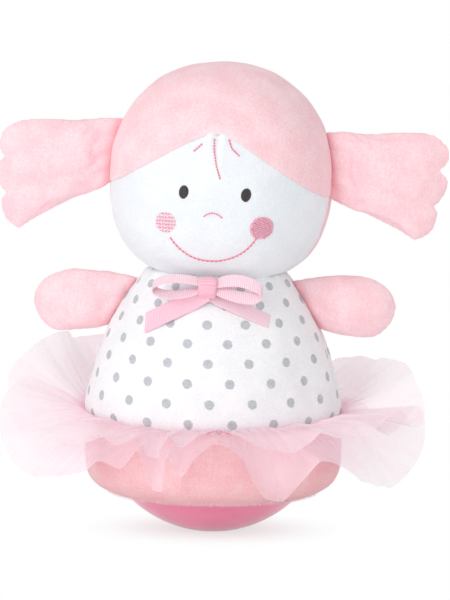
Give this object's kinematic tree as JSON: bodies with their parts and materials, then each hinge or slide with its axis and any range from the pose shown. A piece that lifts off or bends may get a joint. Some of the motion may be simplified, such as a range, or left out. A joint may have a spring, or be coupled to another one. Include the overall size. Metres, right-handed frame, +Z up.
{
  "type": "roly-poly doll",
  "caption": "Plush roly-poly doll with a dotted bell dress, tulle tutu and stuffed pigtails, sewn over a weighted round dish with a rod chime, so that it rocks and rights itself.",
  "frame": {"origin": "middle of the flat foot under the dish", "axes": "+Z up, the doll faces -Y, +X to the right of someone facing it"},
  "size_m": [0.1899, 0.1761, 0.1962],
  "materials": {
    "dish_plastic": "glossy",
    "lid_plastic": "matte",
    "cast_iron": "as cast",
    "steel": "satin",
    "chime_plate": "satin",
    "cord": "braided",
    "velour_pink": "velour nap",
    "velour_white": "velour nap",
    "velour_dotted": "velour nap with printed grey dots",
    "fibre_fill": "loose fibre",
    "tulle": "fine net",
    "ribbon": "grosgrain",
    "thread_dark": "satin stitch",
    "thread_pink": "stitched",
    "thread_rose": "satin stitch"
  },
  "bodies": {
    "doll": {"base_dish": "dish_plastic", "base_lid": "lid_plastic", "lid_screws": "steel", "ballast_weight": "cast_iron", "ballast_screw": "steel", "chime_plate": "chime_plate", "chime_rods": "steel", "striker_hanger": "steel", "hem_drawcord": "cord", "lower_band": "velour_pink", "dress_front_panel": "velour_dotted", "dress_back_panel": "velour_dotted", "body_stuffing": "fibre_fill", "tutu_upper_layer": "tulle", "tutu_lower_layer": "tulle", "face_panel": "velour_white", "hood_front_panel": "velour_pink", "hood_back_panel": "velour_pink", "head_stuffing": "fibre_fill", "embroidered_eyes": "thread_dark", "embroidered_nose": "thread_pink", "embroidered_cheeks": "thread_rose", "embroidered_mouth": "thread_pink", "fringe_stitches": "thread_pink", "bow_loops": "ribbon", "bow_tails": "ribbon", "bow_knot": "ribbon"},
    "left_arm": {"left_arm": "velour_pink"},
    "right_arm": {"right_arm": "velour_pink"},
    "left_pigtail": {"left_pigtail": "velour_pink"},
    "right_pigtail": {"right_pigtail": "velour_pink"},
    "striker_link": {"striker_link": "steel"},
    "striker": {"striker": "steel"}
  },
  "joints": [
    {"name": "left_arm_flop", "type": "hinge", "parent": "doll", "child": "left_arm", "pos_m": [-0.03895, 0, 0.0952], "axis": [0.512, 0, 0.859], "range_deg": [-35, 35], "stiffness_Nm_per_rad": 0.004},
    {"name": "right_arm_flop", "type": "hinge", "parent": "doll", "child": "right_arm", "pos_m": [0.03895, 0, 0.0952], "axis": [0.512, 0, -0.859], "range_deg": [-35, 35], "stiffness_Nm_per_rad": 0.004},
    {"name": "left_pigtail_flop", "type": "hinge", "parent": "doll", "child": "left_pigtail", "pos_m": [-0.04324, 0, 0.15933], "axis": [0.0523, 0, 0.9986], "range_deg": [-40, 40], "stiffness_Nm_per_rad": 0.004},
    {"name": "right_pigtail_flop", "type": "hinge", "parent": "doll", "child": "right_pigtail", "pos_m": [0.04824, 0, 0.15454], "axis": [-0.0523, 0, -0.9986], "range_deg": [-40, 40], "stiffness_Nm_per_rad": 0.004},
    {"name": "striker_swing_front", "type": "hinge", "parent": "doll", "child": "striker_link", "pos_m": [0, 0, 0.04606], "axis": [1, 0, 0], "range_deg": [-20, 20]},
    {"name": "striker_swing_side", "type": "hinge", "parent": "striker_link", "child": "striker", "pos_m": [0, 0, 0.04236], "axis": [0, 1, 0], "range_deg": [-20, 20]}
  ]
}
